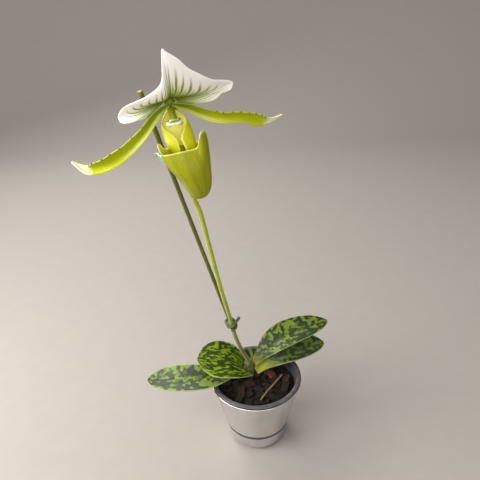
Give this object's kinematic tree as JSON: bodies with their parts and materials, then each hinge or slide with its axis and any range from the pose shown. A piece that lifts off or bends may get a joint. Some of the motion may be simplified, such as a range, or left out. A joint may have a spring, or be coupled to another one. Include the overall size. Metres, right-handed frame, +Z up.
{
  "type": "potted slipper orchid",
  "caption": "Slipper orchid in flower: mottled leaves and a staked scape with one green and white bloom, in a dark nursery pot set in a silver cachepot.",
  "frame": {"origin": "centre of the cachepot's foot, on the surface that it stands on", "axes": "+Z up, -Y towards the side that the flower faces, +X to the right seen from there"},
  "size_m": [0.1783, 0.1537, 0.3703],
  "materials": {
    "silvered_plastic": "gloss silver, metallised",
    "dark_plastic": "satin dark grey",
    "bark_medium": "rough bark",
    "dry_straw": "dry",
    "leaf": "satin, mottled dark and light green",
    "stem": "satin green",
    "cane": "dyed dark green",
    "tie_plastic": "matte dark green",
    "clip_plastic": "gloss, pale green",
    "dorsal_sepal": "soft, white with green veins",
    "petal": "soft green",
    "lip": "waxy green",
    "column": "waxy green"
  },
  "bodies": {
    "root": {"cachepot": "silvered_plastic", "nursery_pot": "dark_plastic", "growing_medium": "bark_medium", "dry_stick": "dry_straw", "crown": "stem", "leaf_left_low": "leaf", "leaf_left_high": "leaf", "leaf_right_high": "leaf", "leaf_right_low": "leaf", "young_leaf": "leaf", "cane": "cane", "scape": "stem", "floral_bract": "stem", "twist_tie": "tie_plastic", "stem_clip": "clip_plastic", "dorsal_sepal": "dorsal_sepal", "synsepal": "petal", "petal_left": "petal", "petal_right": "petal", "lip": "lip", "column": "column"}
  },
  "joints": []
}
